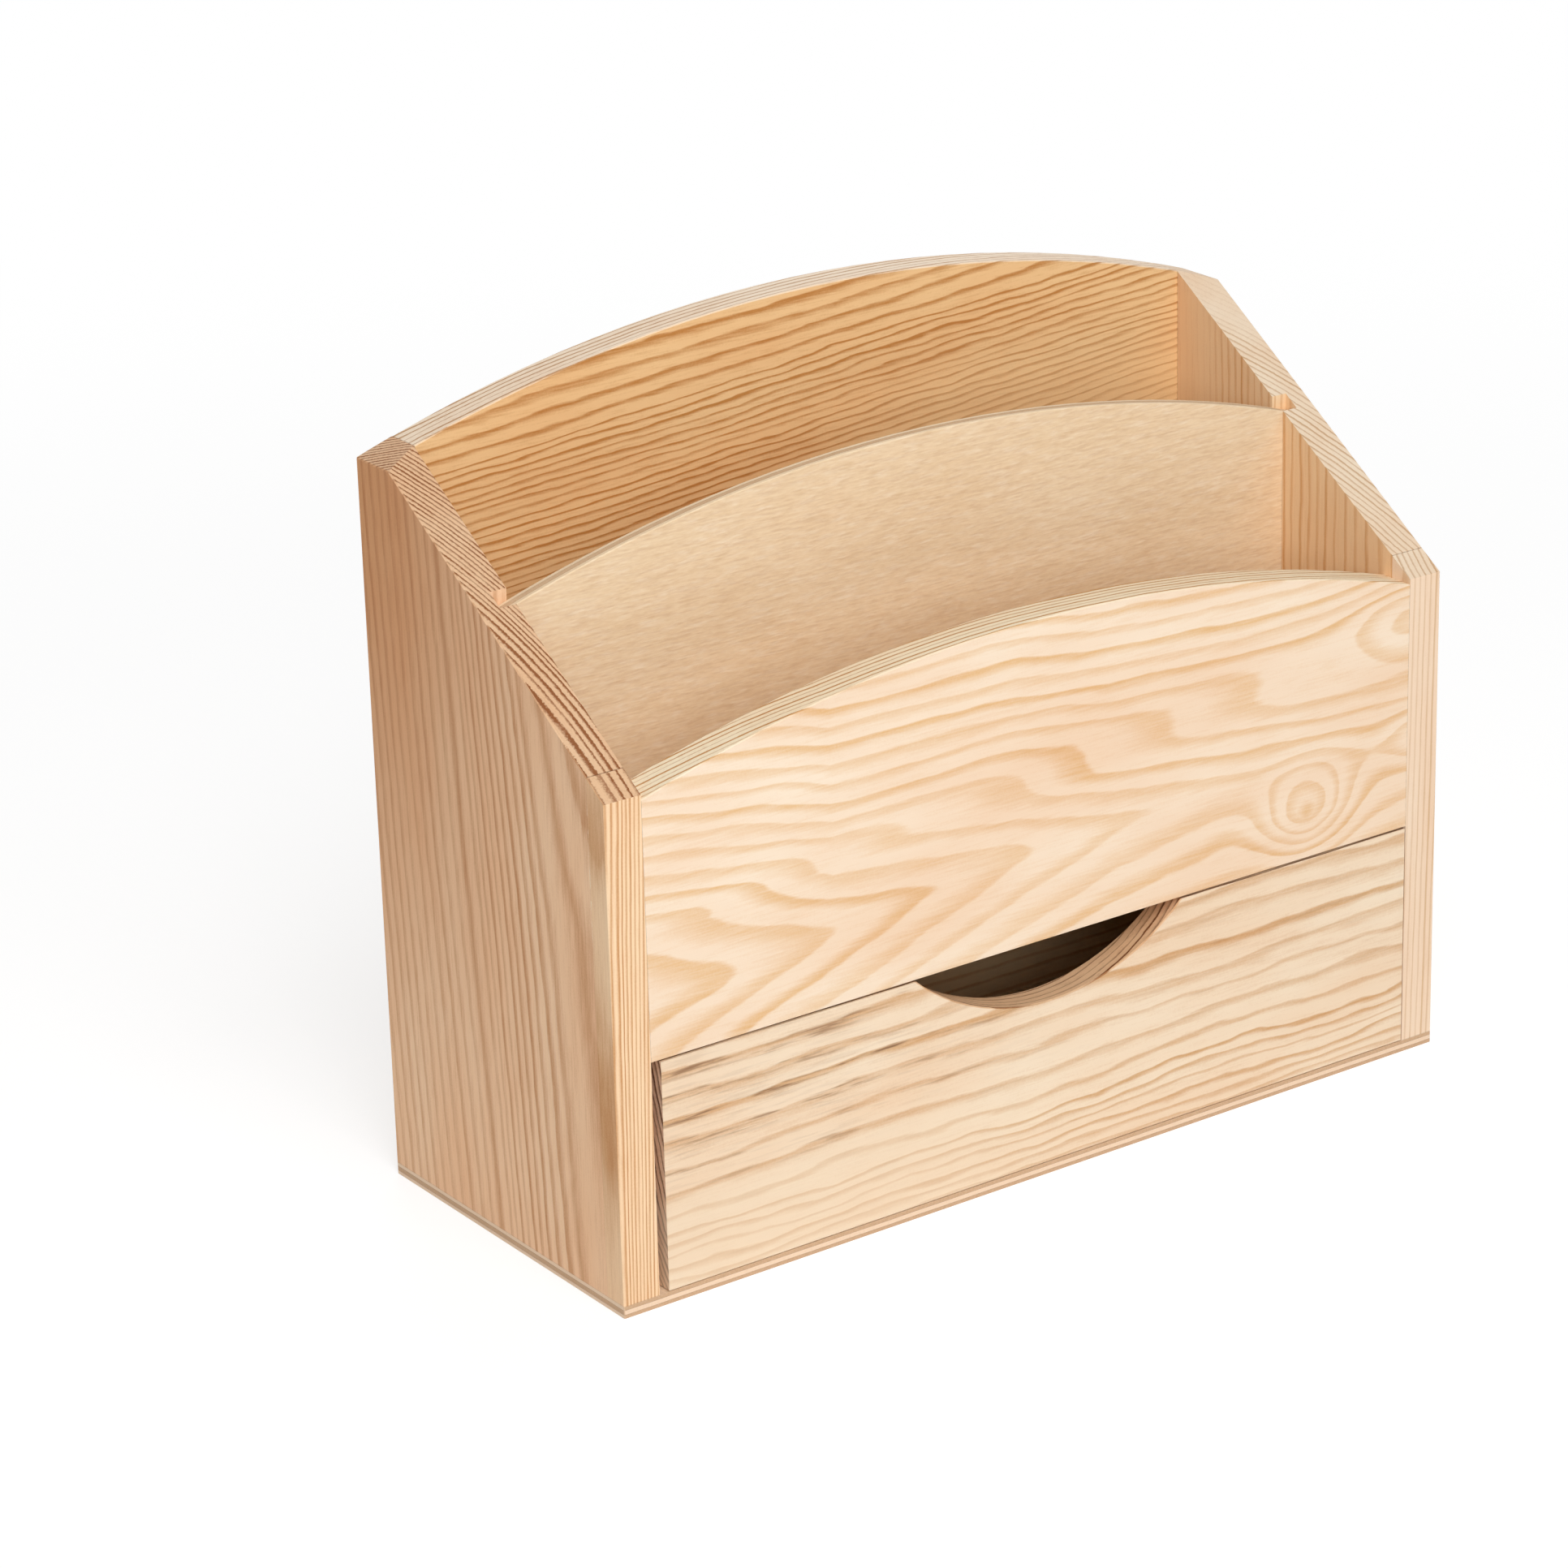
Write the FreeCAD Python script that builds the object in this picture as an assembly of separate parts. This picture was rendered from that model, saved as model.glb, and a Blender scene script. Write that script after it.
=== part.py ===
import FreeCAD, Part
import math
import os
from FreeCAD import Vector

# Envelope sorter with a drawer, built from pine boards and thin plywood.
# X runs across the front, Y from the front to the back and Z up. The origin lies under
# the middle of the base plate, in the plane that the sorter stands on. Millimetres.

# Overall size
width = 250.0
depth = 100.0
height = 205.0

# Boards of the case
base_thickness = 3.0
side_thickness = 10.0
front_strip_depth = 6.7
back_thickness = 10.0
front_thickness = 10.0
front_bottom_height = 62.2
front_crown_height = 143.8
divider_thickness = 4.0
divider_setback = 48.6
divider_crown_height = 177.2
floor_thickness = 3.0
floor_lift = 4.0

# Arched and sloping tops
crown_radius = 391.0
slope_front_height = 127.8
slope_back_height = 187.4

# Grooves that hold the divider and the compartment floor
divider_groove_depth = 4.5
floor_groove_depth = 3.0
groove_play = 0.1
groove_end_play = 0.2

# Dowels of the case
dowel_radius = 2.5
dowel_in_side = 6.0
dowel_in_panel = 14.0
dowel_bevel = 0.5
dowel_play = 0.1
dowel_end_play = 0.4
back_dowel_margin = 25.0
back_dowel_count = 3
front_dowel_margin = 20.0
front_dowel_count = 2

# Drawer and the gaps that it runs in
drawer_left_gap = 2.7
drawer_right_gap = 0.3
drawer_top_gap = 0.7
drawer_running_gap = 0.3
drawer_stop_gap = 0.3
drawer_front_thickness = 8.0
drawer_side_thickness = 8.0
drawer_back_thickness = 8.0
drawer_bottom_thickness = 3.0
drawer_side_drop = 8.0
notch_radius = 60.0
notch_depth = 15.6

# Dowels between the drawer's front and its sides
drawer_dowel_radius = 2.0
drawer_dowel_in_front = 4.5
drawer_dowel_in_side = 12.0
drawer_dowel_margin = 12.0
drawer_dowel_count = 2

# Panel pins
pin_shaft_radius = 0.6
pin_head_radius = 1.1
pin_head_thickness = 0.6
pin_point_radius = 0.1
pin_point_length = 1.5
pin_length = 16.0
pin_sink = 0.2
pin_play = 0.05
base_pin_margin = 18.0
base_pin_count = 3
drawer_bottom_pin_margin = 20.0
drawer_bottom_pin_count = 3
drawer_back_pin_margin = 12.0
drawer_back_pin_count = 2

# Bevel that breaks the free edges of the boards
edge_break = 0.25

# How far a cutting block runs past the wood
overrun = 5.0

# How closely a corner has to lie in a plane to count as in it
plane_match = 0.001

# Planes of the case
front_y = -depth / 2
back_y = depth / 2
case_left = -width / 2
case_right = width / 2
bay_left = case_left + side_thickness
bay_right = case_right - side_thickness
strip_back_y = front_y + front_strip_depth
front_inner_y = front_y + front_thickness
back_inner_y = back_y - back_thickness
divider_front_y = front_y + divider_setback
divider_back_y = divider_front_y + divider_thickness
floor_bottom = front_bottom_height + floor_lift
floor_top = floor_bottom + floor_thickness

# Planes of the drawer
drawer_left = bay_left + drawer_left_gap
drawer_right = bay_right - drawer_right_gap
drawer_bottom = base_thickness + drawer_running_gap
drawer_top = front_bottom_height - drawer_top_gap
drawer_back_y = back_inner_y - drawer_stop_gap
drawer_front_back_y = front_y + drawer_front_thickness
drawer_wall_bottom = drawer_bottom + drawer_bottom_thickness
drawer_wall_top = drawer_top - drawer_side_drop
drawer_inner_left = drawer_left + drawer_side_thickness
drawer_inner_right = drawer_right - drawer_side_thickness
drawer_inner_back_y = drawer_back_y - drawer_back_thickness

# Directions
along_x = Vector(1, 0, 0)
along_y = Vector(0, 1, 0)
along_z = Vector(0, 0, 1)


def block(low, high):
    """Rectangular block between two corners, each given as (x, y, z)."""
    size = Vector(*high) - Vector(*low)
    return Part.makeBox(size.x, size.y, size.z, Vector(*low))


def crown_at(crown_height, x):
    """Height at x of an arch whose top in the middle is at crown_height."""
    return crown_height - crown_radius + math.sqrt(crown_radius * crown_radius - x * x)


def slope_at(y):
    """Height at y of the plane that the sides' tops are cut to."""
    steepness = (slope_back_height - slope_front_height) / (back_inner_y - front_y)
    return slope_front_height + steepness * (y - front_y)


def spread(low, high, count, margin):
    """Places from low to high, the outer ones a margin inside."""
    first = low + margin
    step = (high - low - margin - margin) / (count - 1)
    return [first + step * index for index in range(count)]


def arched_board(x_low, x_high, y_low, y_high, z_low, crown_height):
    """Upright board across the sorter with an arched top."""
    low_left = Vector(x_low, y_low, z_low)
    low_right = Vector(x_high, y_low, z_low)
    top_right = Vector(x_high, y_low, crown_at(crown_height, x_high))
    top_left = Vector(x_low, y_low, crown_at(crown_height, x_low))
    crown = Vector(0, y_low, crown_height)
    edges = [
        Part.LineSegment(low_left, low_right).toShape(),
        Part.LineSegment(low_right, top_right).toShape(),
        Part.Arc(top_right, crown, top_left).toShape(),
        Part.LineSegment(top_left, low_left).toShape(),
    ]
    return Part.Face(Part.Wire(edges)).extrude(along_y * (y_high - y_low))


def sloped_board(x_low, x_high):
    """Side board before its arch, grooves and holes are cut: its top is one slope."""
    corners = [
        Vector(x_low, front_y, base_thickness),
        Vector(x_low, back_y, base_thickness),
        Vector(x_low, back_y, slope_at(back_y)),
        Vector(x_low, front_y, slope_at(front_y)),
    ]
    outline = Part.makePolygon(corners + corners[:1])
    return Part.Face(outline).extrude(along_x * (x_high - x_low))


def is_in_plane(edge, normal, distance):
    """Whether both ends of an edge lie in a plane, given by its normal and distance from the origin."""
    return all(abs(corner.Point.dot(normal) - distance) < plane_match for corner in edge.Vertexes)


def edges_in_plane(shape, normal, distance):
    """Edges of a shape that lie in a plane."""
    return [edge for edge in shape.Edges if is_in_plane(edge, normal, distance)]


def circles(shape):
    """Round edges of a shape."""
    return [edge for edge in shape.Edges if isinstance(edge.Curve, Part.Circle)]


def dowel(start, direction, radius, length):
    """Wooden dowel with bevelled ends."""
    rod = Part.makeCylinder(radius, length, start, direction)
    return rod.makeChamfer(dowel_bevel, circles(rod))


def dowel_hole(start, direction, radius, length):
    """Hole for a dowel, with room round it and past both its ends."""
    low = start - direction * dowel_end_play
    return Part.makeCylinder(radius + dowel_play, length + dowel_end_play + dowel_end_play, low, direction)


def pin(surface, direction):
    """Panel pin driven in from a point on a surface, its head just below it."""
    head_at = surface + direction * pin_sink
    shaft_at = head_at + direction * pin_head_thickness
    shaft_length = pin_length - pin_head_thickness - pin_point_length
    point_at = shaft_at + direction * shaft_length
    head = Part.makeCylinder(pin_head_radius, pin_head_thickness, head_at, direction)
    shaft = Part.makeCylinder(pin_shaft_radius, shaft_length, shaft_at, direction)
    point = Part.makeCone(pin_shaft_radius, pin_point_radius, pin_point_length, point_at, direction)
    return head.fuse([shaft, point]).removeSplitter()


def pin_hole(surface, direction):
    """Hole that a pin leaves in the wood, open at the surface."""
    mouth = surface - direction * overrun
    head_length = overrun + pin_sink + pin_head_thickness
    shaft_length = overrun + pin_sink + pin_length + pin_play
    wide = Part.makeCylinder(pin_head_radius + pin_play, head_length, mouth, direction)
    narrow = Part.makeCylinder(pin_shaft_radius + pin_play, shaft_length, mouth, direction)
    return wide.fuse(narrow)


def case_dowel_places(y_middle, low, high, count, margin):
    """Start and direction of each dowel between a cross board and the two sides."""
    places = []
    for z in spread(low, high, count, margin):
        places.append((Vector(bay_left - dowel_in_side, y_middle, z), along_x))
        places.append((Vector(bay_right + dowel_in_side, y_middle, z), -along_x))
    return places


def back_dowel_places():
    """Dowels between the back panel and the sides."""
    return case_dowel_places(
        (back_inner_y + back_y) / 2,
        base_thickness,
        crown_at(height, bay_right),
        back_dowel_count,
        back_dowel_margin,
    )


def front_dowel_places():
    """Dowels between the front panel and the sides."""
    return case_dowel_places(
        (front_y + front_inner_y) / 2,
        front_bottom_height,
        crown_at(front_crown_height, bay_right),
        front_dowel_count,
        front_dowel_margin,
    )


def drawer_dowel_places():
    """Dowels between the drawer's front and the front ends of its sides."""
    start_y = drawer_front_back_y - drawer_dowel_in_front
    left_x = (drawer_left + drawer_inner_left) / 2
    right_x = (drawer_right + drawer_inner_right) / 2
    heights = spread(drawer_wall_bottom, drawer_wall_top, drawer_dowel_count, drawer_dowel_margin)
    return [(Vector(x, start_y, z), along_y) for x in (left_x, right_x) for z in heights]


def base_pin_places():
    """Pins driven up through the base plate into the sides and the back panel."""
    left_x = (case_left + bay_left) / 2
    right_x = (case_right + bay_right) / 2
    back_middle_y = (back_inner_y + back_y) / 2
    side_rows = spread(front_y, back_y, base_pin_count, base_pin_margin)
    back_rows = spread(bay_left, bay_right, base_pin_count, base_pin_margin)
    places = [(Vector(x, y, 0), along_z) for x in (left_x, right_x) for y in side_rows]
    return places + [(Vector(x, back_middle_y, 0), along_z) for x in back_rows]


def drawer_bottom_pin_places():
    """Pins driven up through the drawer's bottom into its sides and its back."""
    left_x = (drawer_left + drawer_inner_left) / 2
    right_x = (drawer_right + drawer_inner_right) / 2
    back_middle_y = (drawer_inner_back_y + drawer_back_y) / 2
    count = drawer_bottom_pin_count
    margin = drawer_bottom_pin_margin
    side_rows = spread(drawer_front_back_y, drawer_back_y, count, margin)
    back_rows = spread(drawer_inner_left, drawer_inner_right, count, margin)
    places = [(Vector(x, y, drawer_bottom), along_z) for x in (left_x, right_x) for y in side_rows]
    return places + [(Vector(x, back_middle_y, drawer_bottom), along_z) for x in back_rows]


def drawer_back_pin_places():
    """Pins driven through the drawer's sides into the ends of its back."""
    y = (drawer_inner_back_y + drawer_back_y) / 2
    count = drawer_back_pin_count
    heights = spread(drawer_wall_bottom, drawer_wall_top, count, drawer_back_pin_margin)
    left = [(Vector(drawer_left, y, z), along_x) for z in heights]
    right = [(Vector(drawer_right, y, z), -along_x) for z in heights]
    return left + right


def case_dowels(places):
    """The case's dowels at these places."""
    length = dowel_in_side + dowel_in_panel
    return [dowel(start, direction, dowel_radius, length) for start, direction in places]


def case_dowel_holes(places):
    """The holes for the case's dowels at these places."""
    length = dowel_in_side + dowel_in_panel
    return [dowel_hole(start, direction, dowel_radius, length) for start, direction in places]


def drawer_dowels():
    """The dowels behind the drawer's front."""
    length = drawer_dowel_in_front + drawer_dowel_in_side
    return [dowel(start, way, drawer_dowel_radius, length) for start, way in drawer_dowel_places()]


def drawer_dowel_holes():
    """The holes for the dowels behind the drawer's front."""
    length = drawer_dowel_in_front + drawer_dowel_in_side
    return [dowel_hole(start, way, drawer_dowel_radius, length) for start, way in drawer_dowel_places()]


def pins(places):
    """The panel pins at these places."""
    return [pin(surface, direction) for surface, direction in places]


def pin_holes(places):
    """The holes of the panel pins at these places."""
    return [pin_hole(surface, direction) for surface, direction in places]


def floor_groove():
    """Space of the compartment floor's tongues, in the sides, the front and the back panel."""
    low = (bay_left - floor_groove_depth, front_inner_y - floor_groove_depth, floor_bottom)
    high = (bay_right + floor_groove_depth, back_inner_y + floor_groove_depth, floor_top + groove_play)
    return block(low, high)


def divider_groove():
    """Space of the divider's ends in both sides, open at the top."""
    low = (bay_left - divider_groove_depth, divider_front_y - groove_play, floor_top)
    high = (bay_right + divider_groove_depth, divider_back_y + groove_play, height + overrun)
    return block(low, high)


def on_base(edge):
    """Whether an edge lies on the base plate."""
    return is_in_plane(edge, along_z, base_thickness)


def base_plate():
    """Thin plate under the whole case."""
    plate = block((case_left, front_y, 0), (case_right, back_y, base_thickness))
    corners = edges_in_plane(plate, along_x, case_left) + edges_in_plane(plate, along_x, case_right)
    uprights = [edge for edge in corners if not on_base(edge) and not is_in_plane(edge, along_z, 0)]
    plate = plate.makeChamfer(edge_break, uprights)
    return plate.cut(pin_holes(base_pin_places()))


def whole_side(x_low, x_high, outer_x):
    """One side with its slope, arch, grooves and holes, before the front strip is parted."""
    arch = arched_board(case_left, case_right, front_y, back_y, base_thickness, height)
    side = sloped_board(x_low, x_high).common(arch)
    outer_edges = edges_in_plane(side, along_x, outer_x)
    side = side.makeChamfer(edge_break, [edge for edge in outer_edges if not on_base(edge)])
    holes = case_dowel_holes(back_dowel_places() + front_dowel_places())
    return side.cut([divider_groove(), floor_groove()] + holes + pin_holes(base_pin_places()))


def strip_space():
    """Space of the strips that are glued along the front edges of the sides."""
    low = (case_left - overrun, front_y - overrun, -overrun)
    high = (case_right + overrun, strip_back_y, height + overrun)
    return block(low, high)


def back_panel():
    """Tall board between the sides at the back, with an arched top."""
    panel = arched_board(bay_left, bay_right, back_inner_y, back_y, base_thickness, height)
    panel = panel.makeChamfer(edge_break, circles(panel))
    cuts = [floor_groove()] + case_dowel_holes(back_dowel_places())
    return panel.cut(cuts + pin_holes(base_pin_places()))


def front_panel():
    """Board above the drawer, with an arched top."""
    panel = arched_board(
        bay_left, bay_right, front_y, front_inner_y, front_bottom_height, front_crown_height
    )
    panel = panel.makeChamfer(edge_break, circles(panel))
    return panel.cut([floor_groove()] + case_dowel_holes(front_dowel_places()))


def divider():
    """Plywood sheet between the two letter compartments, with an arched top."""
    reach = divider_groove_depth - groove_end_play
    sheet = arched_board(
        bay_left - reach, bay_right + reach, divider_front_y, divider_back_y, floor_top, divider_crown_height
    )
    return sheet.makeChamfer(edge_break, circles(sheet))


def compartment_floor():
    """Plywood sheet that the letters stand on, over the drawer."""
    reach = floor_groove_depth - groove_end_play
    low = (bay_left - reach, front_inner_y - reach, floor_bottom)
    high = (bay_right + reach, back_inner_y + reach, floor_top)
    return block(low, high)


def drawer_front():
    """Drawer's front board with the half-moon finger notch in its top edge."""
    board = block((drawer_left, front_y, drawer_bottom), (drawer_right, drawer_front_back_y, drawer_top))
    middle = (drawer_left + drawer_right) / 2
    centre = Vector(middle, front_y - overrun, drawer_top - notch_depth + notch_radius)
    notch = Part.makeCylinder(notch_radius, drawer_front_thickness + overrun + overrun, centre, along_y)
    board = board.cut(notch)
    notch_edges = [edge for edge in circles(board) if is_in_plane(edge, along_y, front_y)]
    board = board.makeChamfer(edge_break, notch_edges)
    return board.cut(drawer_dowel_holes())


def drawer_side(x_low, x_high):
    """Drawer's side board, which stands on the drawer's bottom."""
    board = block((x_low, drawer_front_back_y, drawer_wall_bottom), (x_high, drawer_back_y, drawer_wall_top))
    holes = pin_holes(drawer_bottom_pin_places() + drawer_back_pin_places())
    return board.cut(drawer_dowel_holes() + holes)


def drawer_back():
    """Drawer's back board, between its sides."""
    low = (drawer_inner_left, drawer_inner_back_y, drawer_wall_bottom)
    board = block(low, (drawer_inner_right, drawer_back_y, drawer_wall_top))
    return board.cut(pin_holes(drawer_bottom_pin_places() + drawer_back_pin_places()))


def drawer_bottom_plate():
    """Plywood sheet under the drawer's sides and back."""
    low = (drawer_left, drawer_front_back_y, drawer_bottom)
    plate = block(low, (drawer_right, drawer_back_y, drawer_wall_bottom))
    return plate.cut(pin_holes(drawer_bottom_pin_places()))


def nodes():
    """Every node's name and shape."""
    left = whole_side(case_left, bay_left, case_left)
    right = whole_side(bay_right, case_right, case_right)
    return {
        "base_plate": base_plate(),
        "left_side": left.cut(strip_space()),
        "left_front_strip": left.common(strip_space()),
        "right_side": right.cut(strip_space()),
        "right_front_strip": right.common(strip_space()),
        "back_panel": back_panel(),
        "front_panel": front_panel(),
        "divider": divider(),
        "compartment_floor": compartment_floor(),
        "back_panel_dowels": Part.makeCompound(case_dowels(back_dowel_places())),
        "front_panel_dowels": Part.makeCompound(case_dowels(front_dowel_places())),
        "base_pins": Part.makeCompound(pins(base_pin_places())),
        "drawer_front": drawer_front(),
        "drawer_left_side": drawer_side(drawer_left, drawer_inner_left),
        "drawer_right_side": drawer_side(drawer_inner_right, drawer_right),
        "drawer_back": drawer_back(),
        "drawer_bottom": drawer_bottom_plate(),
        "drawer_front_dowels": Part.makeCompound(drawer_dowels()),
        "drawer_back_pins": Part.makeCompound(pins(drawer_back_pin_places())),
        "drawer_bottom_pins": Part.makeCompound(pins(drawer_bottom_pin_places())),
    }


os.makedirs("parts", exist_ok=True)
for name, shape in nodes().items():
    shape.exportStep("parts/" + name + ".step")
    print(name, "solids", len(shape.Solids), "volume", round(shape.Volume))
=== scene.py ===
import logging
import math
from dataclasses import dataclass
from enum import Enum
from typing import Any, Dict, Optional, Tuple, Union

import bpy
from mathutils import Matrix, Vector


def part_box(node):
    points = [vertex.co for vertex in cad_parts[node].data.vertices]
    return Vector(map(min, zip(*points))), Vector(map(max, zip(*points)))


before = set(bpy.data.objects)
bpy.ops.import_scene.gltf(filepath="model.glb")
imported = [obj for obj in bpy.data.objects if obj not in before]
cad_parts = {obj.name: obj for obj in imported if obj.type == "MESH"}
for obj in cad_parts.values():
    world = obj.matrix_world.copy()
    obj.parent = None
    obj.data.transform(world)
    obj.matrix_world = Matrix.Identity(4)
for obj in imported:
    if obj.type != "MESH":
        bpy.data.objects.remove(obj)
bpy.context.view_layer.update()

MM = 0.001
PER_METRE = 1000.0
NOISE_ROUGHNESS = 0.55
log = logging.getLogger("sorter")

Triple = Tuple[float, float, float]
Amount = Union["Wire", float]


class Axis(Enum):
    """Direction in the sorter's frame."""

    X = 0
    Y = 1
    Z = 2


class Paint(Enum):
    """How one colour is laid over another."""

    OVER = "MIX"
    DARKEN = "MULTIPLY"


@dataclass(frozen=True)
class Tint:
    """Colour as seen on a screen, written as six hexadecimal digits."""

    code: str

    def linear(self) -> Tuple[float, float, float, float]:
        """Return the colour as the linear values that a shader takes."""
        steps = [int(self.code[place:place + 2], 16) / 255 for place in (0, 2, 4)]
        values = [step / 12.92 if step <= 0.04045 else ((step + 0.055) / 1.055) ** 2.4 for step in steps]
        return (values[0], values[1], values[2], 1.0)


WHITE = Tint("ffffff")


class Wire:
    """A number or colour that flows through a material's nodes."""

    def __init__(self, sketch: "Sketch", socket: bpy.types.NodeSocket) -> None:
        """Remember the graph and the output socket that carries the value.

        Args:
            sketch: The graph that the value belongs to.
            socket: The node output that carries it.
        """
        self.sketch = sketch
        self.socket = socket

    def __add__(self, other: Amount) -> "Wire":
        """Return the sum."""
        return self.sketch.math("ADD", self, other)

    def __sub__(self, other: Amount) -> "Wire":
        """Return the difference."""
        return self.sketch.math("SUBTRACT", self, other)

    def __rsub__(self, other: float) -> "Wire":
        """Return a plain number less this value."""
        return self.sketch.math("SUBTRACT", other, self)

    def __mul__(self, other: Amount) -> "Wire":
        """Return the product."""
        return self.sketch.math("MULTIPLY", self, other)

    def __truediv__(self, other: Amount) -> "Wire":
        """Return the quotient."""
        return self.sketch.math("DIVIDE", self, other)

    def floor(self) -> "Wire":
        """Return the whole part."""
        return self.sketch.math("FLOOR", self)

    def fraction(self) -> "Wire":
        """Return what is left over the whole part."""
        return self.sketch.math("FRACT", self)

    def root(self) -> "Wire":
        """Return the square root."""
        return self.sketch.math("SQRT", self)

    def size(self) -> "Wire":
        """Return the value without its sign."""
        return self.sketch.math("ABSOLUTE", self)

    def at_least(self, other: Amount) -> "Wire":
        """Return the larger of two values."""
        return self.sketch.math("MAXIMUM", self, other)

    def at_most(self, other: Amount) -> "Wire":
        """Return the smaller of two values."""
        return self.sketch.math("MINIMUM", self, other)

    def squared(self) -> "Wire":
        """Return the value times itself."""
        return self.sketch.math("MULTIPLY", self, self)

    def falling(self) -> "Wire":
        """Return e to the power of minus this value."""
        return self.sketch.math("EXPONENT", self * -1.0)

    def rise(self, low: Amount, high: Amount) -> "Wire":
        """Return 0 below low, 1 above high and a smooth step between.

        Args:
            low: Where the step starts.
            high: Where the step ends.

        Returns:
            The height of the step.
        """
        return self.sketch.step(self, low, high)


@dataclass
class Place:
    """Where a point of the surface lies, in millimetres in the sorter's frame."""

    vector: Wire
    x: Wire
    y: Wire
    z: Wire

    def along(self, axis: Axis) -> Wire:
        """Return one coordinate."""
        return (self.x, self.y, self.z)[axis.value]


class Sketch:
    """Node graph of one material, written as sums."""

    def __init__(self, owner: Union[bpy.types.Material, bpy.types.World]) -> None:
        """Empty the node graph of a material or a world.

        Args:
            owner: The material or world.
        """
        self.owner = owner
        owner.use_nodes = True
        self.tree = owner.node_tree
        self.tree.nodes.clear()

    @classmethod
    def of_material(cls, name: str) -> "Sketch":
        """Return the empty graph of a new material."""
        return cls(bpy.data.materials.new(name))

    def feed(self, socket: bpy.types.NodeSocket, amount: Amount) -> None:
        """Connect a wire to a socket or set a plain number there.

        Args:
            socket: The input to feed.
            amount: A wire, or a number.
        """
        if isinstance(amount, Wire):
            self.tree.links.new(amount.socket, socket)
        else:
            socket.default_value = amount

    def math(self, operation: str, *amounts: Amount) -> Wire:
        """Return the result of one arithmetic node.

        Args:
            operation: The node's operation.
            amounts: Its inputs, in order.

        Returns:
            The result.
        """
        node = self.tree.nodes.new("ShaderNodeMath")
        node.operation = operation
        for socket, amount in zip(node.inputs, amounts):
            self.feed(socket, amount)
        return Wire(self, node.outputs[0])

    def step(self, value: Wire, low: Amount, high: Amount) -> Wire:
        """Return a smooth step of a value from 0 at low to 1 at high.

        Args:
            value: What is compared.
            low: Where the step starts.
            high: Where the step ends.

        Returns:
            The height of the step.
        """
        node = self.tree.nodes.new("ShaderNodeMapRange")
        node.interpolation_type = "SMOOTHSTEP"
        self.feed(node.inputs["Value"], value)
        self.feed(node.inputs["From Min"], low)
        self.feed(node.inputs["From Max"], high)
        return Wire(self, node.outputs["Result"])

    def place(self) -> Place:
        """Return the surface point in millimetres."""
        source = self.tree.nodes.new("ShaderNodeTexCoord")
        scale = self.tree.nodes.new("ShaderNodeVectorMath")
        scale.operation = "SCALE"
        scale.inputs["Scale"].default_value = PER_METRE
        self.tree.links.new(source.outputs["Object"], scale.inputs[0])
        split = self.tree.nodes.new("ShaderNodeSeparateXYZ")
        self.tree.links.new(scale.outputs[0], split.inputs[0])
        x, y, z = (Wire(self, output) for output in split.outputs)
        return Place(Wire(self, scale.outputs[0]), x, y, z)

    def facing(self, axis: Axis) -> Wire:
        """Return how squarely the surface faces along an axis, from 0 to 1."""
        source = self.tree.nodes.new("ShaderNodeTexCoord")
        split = self.tree.nodes.new("ShaderNodeSeparateXYZ")
        self.tree.links.new(source.outputs["Normal"], split.inputs[0])
        return Wire(self, split.outputs[axis.value]).size()

    def cloud(self, place: Place, reach: Triple, seed: float, detail: float = 2.0) -> Wire:
        """Return soft noise between about -1 and 1.

        Args:
            place: Where the noise is read.
            reach: Length of its waves along X, Y and Z, in millimetres.
            seed: Shift that tells this noise from others.
            detail: How many finer layers it has.

        Returns:
            The noise.
        """
        shift = self.tree.nodes.new("ShaderNodeVectorMath")
        shift.operation = "MULTIPLY_ADD"
        self.tree.links.new(place.vector.socket, shift.inputs[0])
        shift.inputs[1].default_value = tuple(1.0 / length for length in reach)
        shift.inputs[2].default_value = (seed, seed * 1.7, seed * 2.3)
        noise = self.tree.nodes.new("ShaderNodeTexNoise")
        noise.inputs["Scale"].default_value = 1.0
        noise.inputs["Detail"].default_value = detail
        noise.inputs["Roughness"].default_value = NOISE_ROUGHNESS
        self.tree.links.new(shift.outputs[0], noise.inputs["Vector"])
        return (Wire(self, noise.outputs[0]) - 0.5) * 3.0

    def dice(self, value: Wire, seed: float) -> Wire:
        """Return a number from 0 to 1 that is the same wherever a whole number is."""
        node = self.tree.nodes.new("ShaderNodeTexWhiteNoise")
        node.noise_dimensions = "1D"
        self.feed(node.inputs["W"], value + seed)
        return Wire(self, node.outputs["Value"])

    def paint(self, amount: Amount, base: Union[Wire, Tint], coat: Union[Wire, Tint],
              way: Paint = Paint.OVER) -> Wire:
        """Return one colour laid over another.

        Args:
            amount: How much of the coat shows, from 0 to 1.
            base: The colour underneath.
            coat: The colour on top.
            way: How the two are combined.

        Returns:
            The mixed colour.
        """
        node = self.tree.nodes.new("ShaderNodeMix")
        node.data_type = "RGBA"
        node.blend_type = way.value
        node.clamp_factor = True
        self.feed(node.inputs[0], amount)
        for socket, colour in ((node.inputs[6], base), (node.inputs[7], coat)):
            if isinstance(colour, Tint):
                socket.default_value = colour.linear()
            else:
                self.tree.links.new(colour.socket, socket)
        return Wire(self, node.outputs[2])

    def relief(self, height: Wire, depth: float) -> Wire:
        """Return the shading normal of a surface with a fine relief.

        Args:
            height: Relief from 0 to 1.
            depth: How deep it is, in millimetres.

        Returns:
            The normal.
        """
        node = self.tree.nodes.new("ShaderNodeBump")
        node.inputs["Strength"].default_value = 1.0
        node.inputs["Distance"].default_value = depth * MM
        self.tree.links.new(height.socket, node.inputs["Height"])
        return Wire(self, node.outputs[0])

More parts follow.
